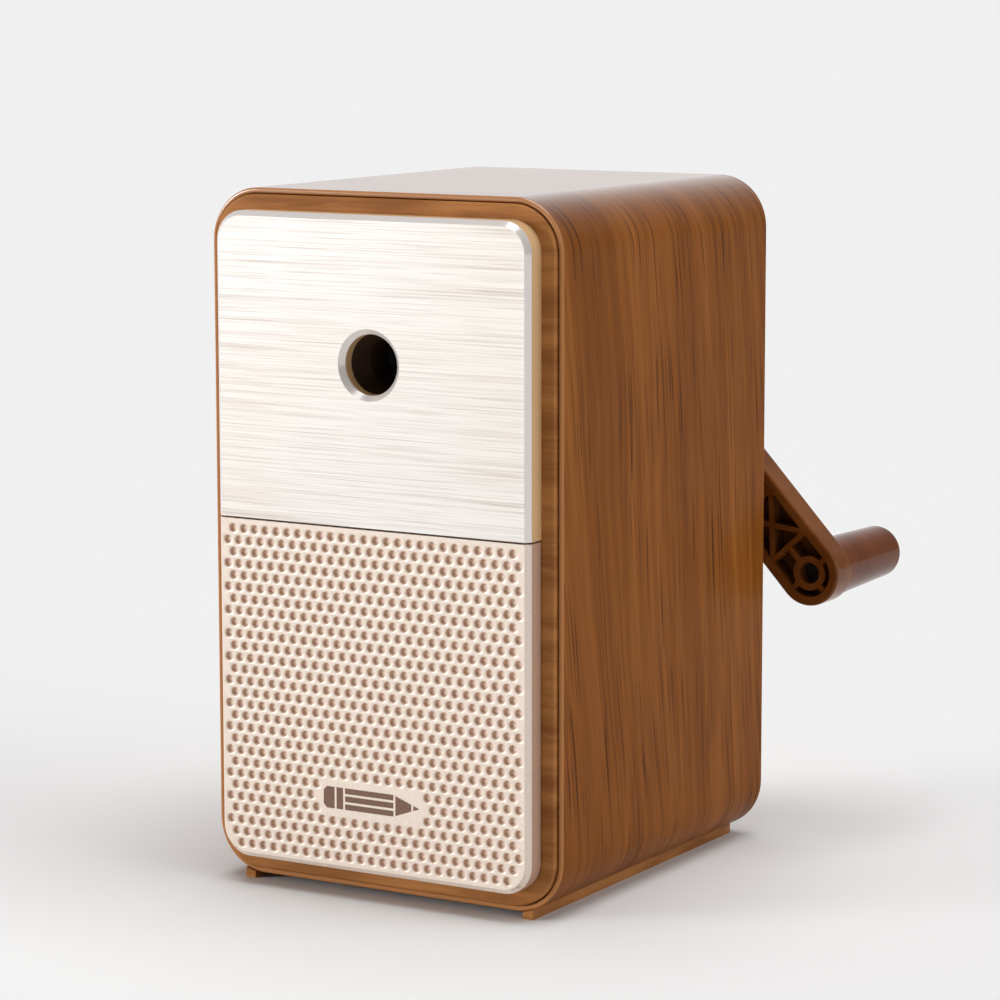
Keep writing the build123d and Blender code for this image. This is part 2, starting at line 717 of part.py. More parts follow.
# Helical cutter: raked blades wound round a core, with a neck for the pinion
blade_step = 360 / cutter_blades
blade_points = []
for blade in range(cutter_blades):
    for radius, turn in ((cutter_radius, 0), (cutter_radius - cutter_blade_height, blade_rake)):
        around = radians(blade_step * (blade + turn))
        blade_points.append((radius * cos(around), radius * sin(around)))
with BuildPart() as helical_cutter:
    with BuildSketch(on_cutter_axis(cutter_start), mode=Mode.PRIVATE) as blade_section:
        with BuildLine():
            Polyline(*blade_points, close=True)
        make_face()
    add(
        Solid.extrude_linear_with_rotation(
            blade_section.sketch.face(),
            on_cutter_axis(cutter_start).origin,
            on_cutter_axis(0).z_dir * cutter_length,
            cutter_twist,
        )
    )
    with BuildSketch(on_cutter_axis(cutter_end)):
        Circle(neck_radius)
    extrude(amount=pinion_end - cutter_end)
    with BuildSketch(on_cutter_axis(cutter_start)):
        Circle(axle_radius + bearing_gap)
    extrude(amount=pinion_end - cutter_start, mode=Mode.SUBTRACT)
finish(helical_cutter, "helical_cutter")

# Cutter pinion: bevel gear pressed on the cutter's neck
with BuildPart() as cutter_pinion:
    for distance in (pinion_start, pinion_end):
        with BuildSketch(on_cutter_axis(distance)):
            with BuildLine():
                Polyline(
                    *gear_points(
                        pinion_teeth,
                        pinion_pitch_radius,
                        pinion_pitch_radius - pinion_dedendum * gear_module,
                        pinion_tip_radius,
                        gear_backlash,
                        distance / pinion_middle,
                    ),
                    close=True,
                )
            make_face()
    loft(ruled=True)
    with BuildSketch(on_cutter_axis(pinion_start)):
        Circle(neck_radius)
    extrude(amount=pinion_face_width, mode=Mode.SUBTRACT)
finish(cutter_pinion, "cutter_pinion")

# Cutter axle: plain pin through the cutter, held by a set screw in the rear block
with BuildPart() as cutter_axle:
    with BuildSketch(on_cutter_axis(axle_back)):
        Circle(axle_radius)
    extrude(amount=axle_front - axle_back)
finish(cutter_axle, "cutter_axle")

set_screw_top = axis_z + rear_block_radius - set_screw_below_rim
axle_top = axis_z + (y_apex - y_set_screw) * tan(tilt) + axle_radius / cos(tilt)
set_screw_bottom = axle_top + screw_radius * tan(tilt)
with BuildPart() as axle_set_screw:
    with BuildSketch(Plane.XY.offset(set_screw_bottom)):
        with Locations((0, y_set_screw)):
            Circle(screw_radius)
    extrude(amount=set_screw_top - set_screw_bottom)
    with BuildSketch(Plane.XY.offset(set_screw_top)):
        with Locations((0, y_set_screw)):
            Rectangle(2 * screw_radius, screw_slot_width)
    extrude(amount=-screw_slot_depth, mode=Mode.SUBTRACT)
finish(axle_set_screw, "axle_set_screw")

# Spindle: turns the carrier; its square end drives the crank arm
y_spindle_end = y_hub_seat - fit_gap
with BuildPart() as spindle:
    with BuildSketch(round_axis(0, y_boss, axis_z)):
        Circle(spindle_radius)
    extrude(amount=y_boss - y_block_back)
    with BuildSketch(round_axis(0, y_spindle_end, axis_z)):
        Rectangle(spindle_square, spindle_square)
    extrude(amount=y_spindle_end - y_boss)
    with BuildSketch(round_axis(0, y_spindle_end, axis_z)):
        Circle(screw_radius)
    extrude(amount=crank_screw_length, mode=Mode.SUBTRACT)
finish(spindle, "spindle")

# Rear bush: flanged bearing for the spindle in the rear bulkhead
y_rear_flange = y_rear_bulkhead - bulkhead_thickness - bush_flange_thickness
with BuildPart() as rear_bush:
    with BuildSketch(round_axis(0, y_rear_bulkhead + rear_bush_tail, axis_z)):
        Circle(rear_bush_radius)
    extrude(amount=rear_bush_tail + bulkhead_thickness)
    with BuildSketch(round_axis(0, y_rear_bulkhead - bulkhead_thickness, axis_z)):
        Circle(rear_bush_radius + bush_flange_width)
    extrude(amount=bush_flange_thickness)
    with BuildSketch(round_axis(0, y_rear_bulkhead + rear_bush_tail, axis_z)):
        Circle(spindle_radius + bearing_gap)
    extrude(amount=y_rear_bulkhead + rear_bush_tail - y_rear_flange, mode=Mode.SUBTRACT)
finish(rear_bush, "rear_bush")

# Rear cover: closes the sleeve's back, with a boss round the spindle and four screw recesses
y_cover_seat = y_cover - cover_screw_seat
y_pillar = y_cover_inside - cover_screw_seat
with BuildPart() as rear_cover:
    with BuildSketch(at_y(y_cover)):
        end_outline(seat_inset)
    extrude(amount=plate_thickness)
    fillet(rear_cover.faces().sort_by(Axis.Y)[-1].edges(), end_edge_rounding)
    with BuildSketch(at_y(y_cover_inside)):
        end_outline(seat_inset)
        end_outline(inside_inset + skirt_wall, mode=Mode.SUBTRACT)
    extrude(amount=rebate_depth - plate_thickness + end_proud)
    with BuildSketch(at_y(y_back - rebate_depth)):
        end_outline(inside_inset)
        end_outline(inside_inset + skirt_wall, mode=Mode.SUBTRACT)
    extrude(amount=back_skirt_length)
    with BuildSketch(round_axis(0, y_cover + cover_boss_height, axis_z)):
        Circle(cover_boss_radius)
    extrude(amount=cover_boss_height)
    boss_rim = rear_cover.faces().sort_by(Axis.Y)[-1].edges()
    fillet(boss_rim, end_edge_rounding)
    with BuildSketch(at_y(y_cover_inside)):
        with Locations(*cover_screw_places):
            Circle(boss_radius + fit_gap)
    extrude(amount=cover_screw_seat)
    with BuildSketch(at_y(y_cover)):
        with Locations(*cover_screw_places):
            Circle(screw_head_radius + fit_gap)
    extrude(amount=cover_screw_seat, mode=Mode.SUBTRACT)
    with BuildSketch(at_y(y_cover)):
        with Locations(*cover_screw_places):
            Circle(screw_radius + fit_gap)
    extrude(amount=y_cover - y_pillar, mode=Mode.SUBTRACT)
    with BuildSketch(round_axis(0, y_cover + cover_boss_height, axis_z)):
        Circle(spindle_radius + cover_hole_gap)
    extrude(amount=cover_boss_height + plate_thickness, mode=Mode.SUBTRACT)
finish(rear_cover, "rear_cover")


def arm_plane(y):
    """Plane on the crank's axis at depth y, local x along the arm towards the knob."""
    along = (cos(radians(arm_angle)), 0, sin(radians(arm_angle)))
    return Plane(origin=(0, y, axis_z), x_dir=along, z_dir=(0, -1, 0))


def arm_outline(inset):
    """The arm's outline, stepped in by inset: straight sides between a wider hub and the tip."""
    Circle(arm_neck_radius - inset)
    with Locations((arm_length, 0)):
        Circle(arm_tip_radius - inset)
    make_hull()
    Circle(arm_hub_radius - inset)


# Crank arm: a long channel, open towards the body and braced inside with crossed ribs
y_skin = y_arm_outside - arm_skin
taper = (arm_neck_radius - arm_tip_radius) / arm_length
last_rib = arm_length - arm_first_rib
with BuildPart() as crank_arm:
    with BuildSketch(arm_plane(y_arm_outside)):
        arm_outline(0)
    extrude(amount=arm_thickness)
    long_faces = crank_arm.faces().filter_by(Axis.Y)
    fillet(long_faces.edges(), arm_edge_rounding)
    with BuildSketch(arm_plane(y_skin)):
        arm_outline(arm_rim)
        Circle(arm_hub_radius, mode=Mode.SUBTRACT)
    extrude(amount=arm_thickness - arm_skin, mode=Mode.SUBTRACT)
    with BuildSketch(arm_plane(y_skin)):
        for cell in range(arm_cells + 1):
            place = last_rib - cell * arm_rib_pitch
            inside = 2 * (arm_tip_radius + taper * (arm_length - place) - arm_rim)
            with Locations((place, 0)):
                Rectangle(arm_rib, inside)
            if cell < arm_cells:
                lean = degrees(atan(inside / arm_rib_pitch))
                with Locations((place - arm_rib_pitch / 2, 0)):
                    Rectangle(hypot(inside, arm_rib_pitch), arm_rib, rotation=lean)
                    Rectangle(hypot(inside, arm_rib_pitch), arm_rib, rotation=-lean)
        with Locations(((last_rib + arm_length) / 2, 0)):
            Rectangle(arm_first_rib, arm_rib)
        with Locations((arm_length, 0)):
            Circle(arm_bush_radius)
            Rectangle(arm_rib, 2 * (arm_tip_radius - arm_rim / 2))
            Rectangle(arm_tip_radius - arm_rim / 2, arm_rib, align=(Align.MIN, Align.CENTER))
        with Locations((arm_hub_radius, 0)):
            Rectangle(arm_hub_radius, arm_rib)
    extrude(amount=arm_thickness - arm_skin - arm_rib_drop)
    with BuildSketch(arm_plane(y_arm)):
        Circle(hub_boss_radius)
    extrude(amount=y_arm - y_boss)
    with BuildSketch(arm_plane(y_arm_outside)):
        Circle(hub_recess_radius)
    extrude(amount=hub_recess_depth, mode=Mode.SUBTRACT)
    with BuildSketch(round_axis(0, y_arm_outside, axis_z)):
        Rectangle(spindle_square, spindle_square)
    extrude(amount=y_arm_outside - y_boss, mode=Mode.SUBTRACT)
    with BuildSketch(arm_plane(y_arm_outside)):
        with Locations((arm_length, 0)):
            Circle(knob_pin_radius)
    extrude(amount=arm_thickness, mode=Mode.SUBTRACT)
finish(crank_arm, "crank_arm")

# Knob and the headed pin it turns on
knob_axis = Axis((knob_x, 0, knob_z), (0, 1, 0))
knob_plane = Plane(origin=(knob_x, 0, knob_z), x_dir=(1, 0, 0), z_dir=(0, 0, 1))
with BuildPart() as knob:
    with BuildSketch(knob_plane):
        with BuildLine():
            Polyline(
                (knob_pin_radius + bearing_gap, y_knob),
                (knob_base_radius, y_knob),
                (knob_end_radius, y_knob_end),
                (knob_pocket_radius, y_knob_end),
                (knob_pocket_radius, y_knob_end - knob_pocket_depth),
                (knob_pin_radius + bearing_gap, y_knob_end - knob_pocket_depth),
                close=True,
            )
        make_face()
    revolve(axis=knob_axis)
    fillet(round_edges(knob, knob_end_radius), knob_rounding)
    fillet(round_edges(knob, knob_base_radius), knob_base_rounding)
finish(knob, "knob")

y_pin_head = y_knob_end - knob_pocket_depth + knob_gap
with BuildPart() as knob_pin:
    with BuildSketch(round_axis(knob_x, y_pin_head, knob_z)):
        Circle(knob_pin_radius)
    extrude(amount=y_pin_head - y_arm - knob_pin_recess)
    with BuildSketch(round_axis(knob_x, y_pin_head + knob_pin_head_height, knob_z)):
        Circle(knob_pin_head_radius)
    extrude(amount=knob_pin_head_height)
    fillet(knob_pin.faces().sort_by(Axis.Y)[-1].edges(), knob_pin_head_height / 2)
finish(knob_pin, "knob_pin")

# Fasteners
finish(screws(face_screw_places, y_web, plate_thickness + face_screw_bite), "face_screws")
finish(screws(frame_screw_places, y_housing, bulkhead_thickness + frame_screw_bite), "frame_screws")
finish(screws(ear_places, y_housing + ear_thickness, ear_thickness + bulkhead_thickness), "housing_screws")
finish(screws(cover_screw_places, y_cover_seat, cover_screw_length), "rear_cover_screws")
finish(screws(drawer_screw_places, tray_front + tray_front_wall, tray_front_wall + drawer_screw_bite),
       "drawer_screws")
finish(screws([(0, axis_z)], y_hub_seat, crank_screw_length, crank_screw_head_radius), "crank_screw")
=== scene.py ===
import math
import bpy
import numpy as np
from mathutils import Matrix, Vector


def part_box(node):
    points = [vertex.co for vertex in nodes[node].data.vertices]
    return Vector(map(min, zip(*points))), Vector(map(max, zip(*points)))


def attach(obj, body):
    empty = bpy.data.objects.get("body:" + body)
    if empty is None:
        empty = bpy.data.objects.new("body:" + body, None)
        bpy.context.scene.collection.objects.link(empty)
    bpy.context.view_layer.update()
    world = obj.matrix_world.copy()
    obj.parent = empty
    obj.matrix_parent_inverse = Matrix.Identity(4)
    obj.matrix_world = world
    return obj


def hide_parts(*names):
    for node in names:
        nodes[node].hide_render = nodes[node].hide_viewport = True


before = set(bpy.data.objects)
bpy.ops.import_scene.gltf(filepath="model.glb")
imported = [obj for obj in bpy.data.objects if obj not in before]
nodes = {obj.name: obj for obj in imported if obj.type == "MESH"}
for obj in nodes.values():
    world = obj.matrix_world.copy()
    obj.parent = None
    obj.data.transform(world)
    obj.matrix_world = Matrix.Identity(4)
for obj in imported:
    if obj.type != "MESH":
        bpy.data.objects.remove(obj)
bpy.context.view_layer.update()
mm = 0.001
print("frame loaded with", len(nodes), "nodes")


class Signal:
    # one output of a shader node; arithmetic on it adds Math nodes

    def __init__(self, recipe, socket):
        self.recipe = recipe
        self.socket = socket

    def math(self, operation, first, second=0.0):
        return self.recipe.node("ShaderNodeMath", {"operation": operation}, {0: first, 1: second})

    def __add__(self, other):
        return self.math("ADD", self, other)

    def __radd__(self, other):
        return self.math("ADD", other, self)

    def __sub__(self, other):
        return self.math("SUBTRACT", self, other)

    def __rsub__(self, other):
        return self.math("SUBTRACT", other, self)

    def __mul__(self, other):
        return self.math("MULTIPLY", self, other)

    def __rmul__(self, other):
        return self.math("MULTIPLY", other, self)

    def size(self):
        return self.math("ABSOLUTE", self)

    def whole(self):
        return self.math("FLOOR", self)

    def part(self):
        return self.math("FRACT", self)

    def sign(self):
        return self.math("SIGN", self)


class Recipe:
    # a material under construction, on Object coordinates

    def __init__(self, name, **constants):
        self.material = bpy.data.materials.new(name)
        self.material.use_nodes = True
        self.tree = self.material.node_tree
        self.shader = self.tree.nodes["Principled BSDF"]
        for socket, value in constants.items():
            self.shader.inputs[socket].default_value = value
        self.place = self.node("ShaderNodeTexCoord", out="Object")

    def node(self, kind, settings=None, inputs=None, out=0):
        made = self.tree.nodes.new(kind)
        for key, value in (settings or {}).items():
            if key == "stops":
                self.setStops(made.color_ramp.elements, value)
            else:
                setattr(made, key, value)
        for key, value in (inputs or {}).items():
            if isinstance(value, Signal):
                self.tree.links.new(value.socket, made.inputs[key])
            else:
                made.inputs[key].default_value = value
        return Signal(self, made.outputs[out])

    def setStops(self, elements, stops):
        while len(elements) < len(stops):
            elements.new(1.0)
        for element, (position, colour) in zip(elements, stops):
            element.position = position
            element.color = (*colour, 1.0)

    def axis(self, vector, letter):
        return self.node("ShaderNodeSeparateXYZ", inputs={0: vector}, out=letter)

    def join(self, x, y, z):
        return self.node("ShaderNodeCombineXYZ", inputs={0: x, 1: y, 2: z})

    def mapped(self, scale, shift=(0.0, 0.0, 0.0)):
        return self.node("ShaderNodeMapping", inputs={
            "Vector": self.place, "Scale": scale, "Location": shift})

    def noise(self, vector, detail=2.0, rough=0.5, warp=0.0):
        return self.node("ShaderNodeTexNoise", inputs={
            "Vector": vector, "Scale": 1.0, "Detail": detail, "Roughness": rough, "Distortion": warp})

    def speckle(self, scale, detail=2.0, rough=0.5):
        return self.noise(self.mapped((scale, scale, scale)), detail, rough)

    def between(self, value, low, high, lowTo=0.0, highTo=1.0):
        return self.node("ShaderNodeMapRange", {"interpolation_type": "SMOOTHSTEP"}, {
            0: value, 1: low, 2: high, 3: lowTo, 4: highTo})

    def ramp(self, value, *stops):
        return self.node("ShaderNodeValToRGB", {"stops": stops}, {0: value})

    def mix(self, amount, first, second):
        first, second = [(*c, 1.0) if isinstance(c, tuple) else c for c in (first, second)]
        return self.node("ShaderNodeMix", {"data_type": "RGBA"}, {0: amount, 6: first, 7: second}, out=2)

    def bump(self, height, distance, strength):
        return self.node("ShaderNodeBump", inputs={
            "Height": height, "Distance": distance, "Strength": strength})

    def finish(self, **links):
        for socket, signal in links.items():
            self.tree.links.new(signal.socket, self.shader.inputs[socket.replace("_", " ")])
        return self.material


def paint(material, *names):
    for name in names:
        for slot in nodes[name].material_slots:
            slot.material = material


# Wood-effect film of the sleeve. The grain runs round the tube, so the length along it is z on the
# sides, x across the top, and carries on over the rounded corners.
wood = {
    "pale": (0.36, 0.128, 0.028),
    "middle": (0.240, 0.076, 0.012),
    "dark": (0.140, 0.041, 0.006),
    "pore": (0.050, 0.014, 0.004),
    "lip": (0.46, 0.20, 0.075),  # bare moulded edge at both ends of the tube
    "lipDepth": 0.45 * mm,
    "lean": 0.11,
    "roughness": 0.32,
    "specular": 0.03,
    "topCoat": 1.0,  # the top is polished brighter than the sides
    "coatFrom": 9.0 * mm,  # the polish starts this far below the top and is full at coatFull
    "coatFull": 0.5 * mm,
    "coatRoughness": 0.16,
    "coatIndex": 1.8,
    "poreDepth": 0.03 * mm,
    "swayBy": 0.011,
    "rippleBy": 0.0016,
    "bandShare": 0.6,  # of the tone, the rest being streaks
    "fibreStrength": 0.30,
    "poreStrength": 0.72,
    # each figure: cycles per metre across and along the grain, where it lies in the noise, and its
    # detail and roughness
    "sway": (14.0, 9.0, 3.0, 1.0, 0.5),
    "ripple": (70.0, 38.0, 4.0, 1.0, 0.5),
    "bands": (120.0, 7.0, 1.0, 3.0, 0.5),
    "streaks": (560.0, 15.0, 7.0, 4.0, 0.6),
    "fibres": (2800.0, 90.0, 5.0, 3.0, 0.6),
    "clusters": (150.0, 24.0, 9.0, 2.0, 0.5),
    "ticks": (1750.0, 34.0, 2.0, 2.0, 0.5),
}


def woodMaterial():
    r = Recipe("woodFilm", **{"Coat Roughness": wood["coatRoughness"], "Coat IOR": wood["coatIndex"],
                              "Specular IOR Level": wood["specular"]})
    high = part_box("sleeve")[1]
    x, y, z = (r.axis(r.place, letter) for letter in "XYZ")
    along = (high.z - z) * x.sign() * -1.0 - x
    across = y + along * wood["lean"]

    def figure(name, over):
        scaleAcross, scaleAlong, place, detail, rough = wood[name]
        return r.noise(r.join(over * scaleAcross, along * scaleAlong, place), detail, rough)

    sway, ripple = figure("sway", across), figure("ripple", across)
    bent = across + (sway - 0.5) * wood["swayBy"] + (ripple - 0.5) * wood["rippleBy"]
    bands, streaks, fibres = (figure(name, bent) for name in ("bands", "streaks", "fibres"))
    cluster = r.between(figure("clusters", bent), 0.36, 0.66)
    pores = r.between(figure("ticks", bent), 0.55, 0.62) * (0.2 + 0.8 * cluster)
    tone = bands * wood["bandShare"] + streaks * (1.0 - wood["bandShare"])
    base = r.ramp(tone, (0.28, wood["dark"]), (0.50, wood["middle"]), (0.74, wood["pale"]))
    grained = r.mix(r.between(fibres, 0.35, 0.75, 0.0, wood["fibreStrength"]), base, wood["dark"])
    film = r.mix(pores * wood["poreStrength"], grained, wood["pore"])
    lip = r.between(y.size(), high.y - wood["lipDepth"], high.y - 0.5 * wood["lipDepth"])
    height = (fibres * 0.25 - pores) * (1.0 - lip)
    return r.finish(
        Base_Color=r.mix(lip, film, wood["lip"]),
        Roughness=wood["roughness"] + (streaks - 0.5) * 0.20 + pores * 0.12,
        Coat_Weight=wood["topCoat"] * r.between(z, high.z - wood["coatFrom"], high.z - wood["coatFull"]),
        Normal=r.bump(height, wood["poreDepth"], 0.55),
    )


# Moulded trim: tan plastic with a faint drawn figure and a fine moulded grain.
trim = {
    "pale": (0.46, 0.195, 0.060),
    "dark": (0.27, 0.102, 0.028),
    "specular": 0.08,
    "roughness": 0.38,
    "grainDepth": 0.02 * mm,
    "figure": (40.0, 60.0, 400.0),
    "cloud": 45.0,
    "speck": 2600.0,
}


def trimMaterial():
    r = Recipe("tanTrim", **{"Specular IOR Level": trim["specular"]})
    figure = r.noise(r.mapped(trim["figure"]), detail=4.0, rough=0.6, warp=0.4)
    cloud = r.speckle(trim["cloud"])
    speck = r.speckle(trim["speck"])
    colour = r.mix(r.between(figure * 0.7 + cloud * 0.3, 0.36, 0.66), trim["dark"], trim["pale"])
    return r.finish(
        Base_Color=colour,
        Roughness=trim["roughness"] + (cloud - 0.5) * 0.12 + (speck - 0.5) * 0.10,
        Normal=r.bump(speck, trim["grainDepth"], 0.4),
    )


# Brushed face plate: long horizontal scratches, and a bright cut where the bevels are.
plate = {
    "pale": (0.77, 0.74, 0.71),
    "line": (0.50, 0.425, 0.37),
    "blush": (0.765, 0.72, 0.675),
    "cut": (0.80, 0.74, 0.71),
    "metallic": 0.30,
    "roughness": 0.40,
    "cutRoughness": 0.18,
    "scratchDepth": 0.03 * mm,
    "long": (16.0, 1.0, 3000.0),
    "hair": (55.0, 1.0, 5200.0),
    "hairShift": (3.0, 0.0, 1.0),
    "cloud": (24.0, 1.0, 24.0),
}


def plateMaterial():
    r = Recipe("brushedPlate", Metallic=plate["metallic"])
    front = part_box("face_plate")[0].y
    bevel = r.between(r.axis(r.place, "Y"), front + 0.02 * mm, front + 0.06 * mm)
    long = r.noise(r.mapped(plate["long"]), detail=3.0)
    hair = r.noise(r.mapped(plate["hair"], plate["hairShift"]))
    cloud = r.noise(r.mapped(plate["cloud"]), detail=1.0)
    scratch = r.between(long, 0.48, 0.68) * 0.65 + r.between(hair, 0.48, 0.66) * 0.55
    base = r.mix(r.between(cloud, 0.35, 0.65), plate["pale"], plate["blush"])
    drawn = r.mix(scratch * 0.75, base, plate["line"])
    grained = (long * 0.6 + hair * 0.4) * (1.0 - bevel)
    brushedRoughness = (plate["roughness"] + (hair - 0.5) * 0.25) * (1.0 - bevel)
    return r.finish(
        Base_Color=r.mix(bevel, drawn, plate["cut"]),
        Roughness=brushedRoughness + plate["cutRoughness"] * bevel,
        Normal=r.bump(grained, plate["scratchDepth"], 0.55),
    )


# Satin plastic with a fine metallic fleck, for the dimpled panel and the carrier.
fleck = {
    "cream": (0.83, 0.71, 0.61),
    "creamDeep": (0.34, 0.165, 0.085),
    # colour of the painted shade in the dimples
    "hollowShade": (0.46, 0.195, 0.070),
    "side": (0.50, 0.32, 0.23),
    "gold": (0.68, 0.45, 0.23),
    "goldDeep": (0.46, 0.28, 0.13),
    "metallic": 0.15,
    "roughness": 0.36,
    "grain": 3200.0,
    "grainDepth": 0.02 * mm,
    "cloud": 60.0,
}


def fleckMaterial(name, body, deep, tint=None):
    r = Recipe(name, Metallic=fleck["metallic"])
    grain = r.speckle(fleck["grain"], rough=0.7)
    cloud = r.speckle(fleck["cloud"])
    colour = r.mix(r.between(grain, 0.42, 0.72, 0.0, 0.16), body, deep)
    if tint:
        colour = tint(r, colour)
    return r.finish(Base_Color=colour, Normal=r.bump(grain, fleck["grainDepth"], 0.35),
                    Roughness=fleck["roughness"] + (grain - 0.5) * 0.2 + (cloud - 0.5) * 0.08)


# Plain mouldings and metals: pale and deep colour, roughness, scale of the grain, metallic and
# specular level.
plainFinishes = {
    "trayPlastic": ((0.42, 0.31, 0.24), (0.34, 0.24, 0.18), 0.36, 1800.0, 0.0, 0.5),
    "darkPlastic": ((0.060, 0.030, 0.018), (0.032, 0.016, 0.010), 0.45, 1500.0, 0.0, 0.5),
    "blackSteel": ((0.016, 0.014, 0.013), (0.009, 0.008, 0.007), 0.5, 2000.0, 0.0, 0.2),
    "bearingPlastic": ((0.80, 0.78, 0.70), (0.68, 0.65, 0.56), 0.32, 1200.0, 0.0, 0.5),
    "crankPlastic": ((0.19, 0.060, 0.012), (0.125, 0.036, 0.006), 0.15, 900.0, 0.0, 0.18),
    "knobPlastic": ((0.15, 0.036, 0.005), (0.10, 0.023, 0.003), 0.12, 900.0, 0.0, 0.12),
    "dieCast": ((0.50, 0.50, 0.51), (0.33, 0.33, 0.34), 0.48, 1400.0, 0.95, 0.5),
    "cutterSteel": ((0.44, 0.44, 0.46), (0.26, 0.26, 0.28), 0.30, 2600.0, 1.0, 0.5),
    "brightSteel": ((0.72, 0.72, 0.73), (0.55, 0.55, 0.57), 0.22, 2200.0, 1.0, 0.5),
}
plainFigure = {
    "cloud": 90.0,
    "drawn": (160.0, 24.0, 160.0),
    "wear": 260.0,
    "depth": 0.02 * mm,
}


def plainMaterial(name):
    pale, deep, roughness, scale, metallic, specular = plainFinishes[name]
    r = Recipe(name, **{"Metallic": metallic, "Specular IOR Level": specular})
    grain = r.speckle(scale, detail=3.0, rough=0.6)
    cloud = r.speckle(plainFigure["cloud"], detail=3.0, rough=0.6)
    drawn = r.noise(r.mapped(plainFigure["drawn"]), detail=3.0)
    wear = r.between(r.speckle(plainFigure["wear"], detail=5.0, rough=0.75), 0.58, 0.70)
    return r.finish(Base_Color=r.mix(r.between(cloud * 0.6 + drawn * 0.4, 0.38, 0.64), deep, pale),
                    Roughness=roughness + (cloud - 0.5) * 0.12 + wear * 0.08,
                    Normal=r.bump(grain * 0.6 + drawn * 0.4, plainFigure["depth"], 0.35))


woodFilm = woodMaterial()
tanTrim = trimMaterial()
brushedPlate = plateMaterial()
goldPlastic = fleckMaterial("goldPlastic", fleck["gold"], fleck["goldDeep"])
plain = {name: plainMaterial(name) for name in plainFinishes}
paint(woodFilm, "sleeve")
paint(tanTrim, "front_frame", "rear_cover", "foot_rail_left", "foot_rail_right")
paint(brushedPlate, "face_plate")
paint(goldPlastic, "face_carrier")
paint(plain["trayPlastic"], "drawer_tray")
paint(plain["darkPlastic"], "chassis", "pencil_guide")
paint(plain["bearingPlastic"], "front_bush", "rear_bush")
paint(plain["crankPlastic"], "crank_arm")
paint(plain["knobPlastic"], "knob")
paint(plain["dieCast"], "gear_housing", "ring_gear", "cutter_carrier")
paint(plain["cutterSteel"], "helical_cutter", "cutter_pinion")
paint(plain["blackSteel"], "knob_pin")
paint(plain["brightSteel"], "cutter_axle", "axle_set_screw", "spindle", "crank_screw", "face_screws",
      "frame_screws", "housing_screws", "rear_cover_screws", "drawer_screws")
print("materials made")


def addPiece(name, points, faces, material, sharpAngle=35.0):
    mesh = bpy.data.meshes.new(name)
    mesh.from_pydata(points.tolist(), [], faces)
    mesh.polygons.foreach_set("use_smooth", np.ones(len(mesh.polygons), bool))
    mesh.set_sharp_from_angle(angle=math.radians(sharpAngle))
    mesh.materials.append(material)
    mesh.update()
    piece = bpy.data.objects.new(name, mesh)
    bpy.context.scene.collection.objects.link(piece)
    return piece


def merged(points, faces):
    # points within a ten-thousandth of a millimetre of each other become one
    keys = np.round(points / (0.0001 * mm)).astype(np.int64)
    unique, first, same = np.unique(keys, axis=0, return_index=True, return_inverse=True)
    same = same.reshape(-1)
    kept = [[int(same[i]) for i in face] for face in faces]
    kept = [[a for a, b in zip(face, face[1:] + face[:1]) if a != b] for face in kept]
    return points[first], [face for face in kept if len(set(face)) > 2]


def ringFaces(rings, count):
    # quads between neighbouring rings of count points, for rings numbered one after another
    step = np.arange(count)
    following = (step + 1) % count
    lower = np.arange(rings - 1)[:, None] * count
    upper = lower + count
    quads = np.stack([lower + step, lower + following, upper + following, upper + step], -1)
    return quads.reshape(-1, 4)


# Drawer front: a flat face with staggered spherical dimples, a cut bevel on three sides and a
# hollow back.
panel = {
    "pitch": 2.31 * mm,
    "rows": 28,
    "perRow": 27,
    "rowPitch": 2.118 * mm,
    "firstRow": 1.745 * mm,  # top edge to the first row of dimples
    "dimpleRadius": 0.84 * mm,
    "dimpleDepth": 0.66 * mm,
    "rim": 0.09 * mm,
    "rimDepth": 0.04 * mm,
    "recess": 0.02 * mm,  # the face lies this far behind the printed mark
    "bevel": 0.9 * mm,
    "cornerRadius": 5.5 * mm,
    "wall": 1.6 * mm,
    "skin": 1.8 * mm,
    "blankRows": (21, 23),
    "blankHalf": 11.2 * mm,
    "lastRowHalf": 29.0 * mm,  # the last row stops short of the rounded corners
    "around": 16,  # points round a dimple
    "bowlRings": (1.0, 0.78, 0.45),  # shares of the dimple's radius
    "hollowShadeFrom": 0.07 * mm,  # painted shade in the dimples starts this far behind the front and is full at the next depth
    "hollowShadeFull": 0.30 * mm,
    # painted shade in the dimples: the share over the whole hollow, then the extra share on its left
    # wall
    "hollowShade": 0.08,
    "leftHollowShade": 0.62,
    "sideFrom": 0.92 * mm,  # the same for the bare sides
    "sideFull": 1.0 * mm,
}
onEdge = 1e-7  # metres; a point this near to an edge of the panel lies on it
onPlane = 1e-9


def snapInside(x, z, half, low, high, radius):
    # points outside a plate with two rounded lower corners move to the nearest point of its outline
    x, z = np.clip(x, -half, half), np.clip(z, low, high)
    dx = np.maximum(np.abs(x) - (half - radius), 0.0)
    dz = np.maximum(low + radius - z, 0.0)
    away = np.hypot(dx, dz)
    shrink = np.where(away > radius, radius / np.maximum(away, 1e-12), 1.0)
    corner = (dx > 0) & (dz > 0)
    x = np.where(corner, np.sign(x) * (half - radius + dx * shrink), x)
    z = np.where(corner, low + radius - dz * shrink, z)
    return x, z


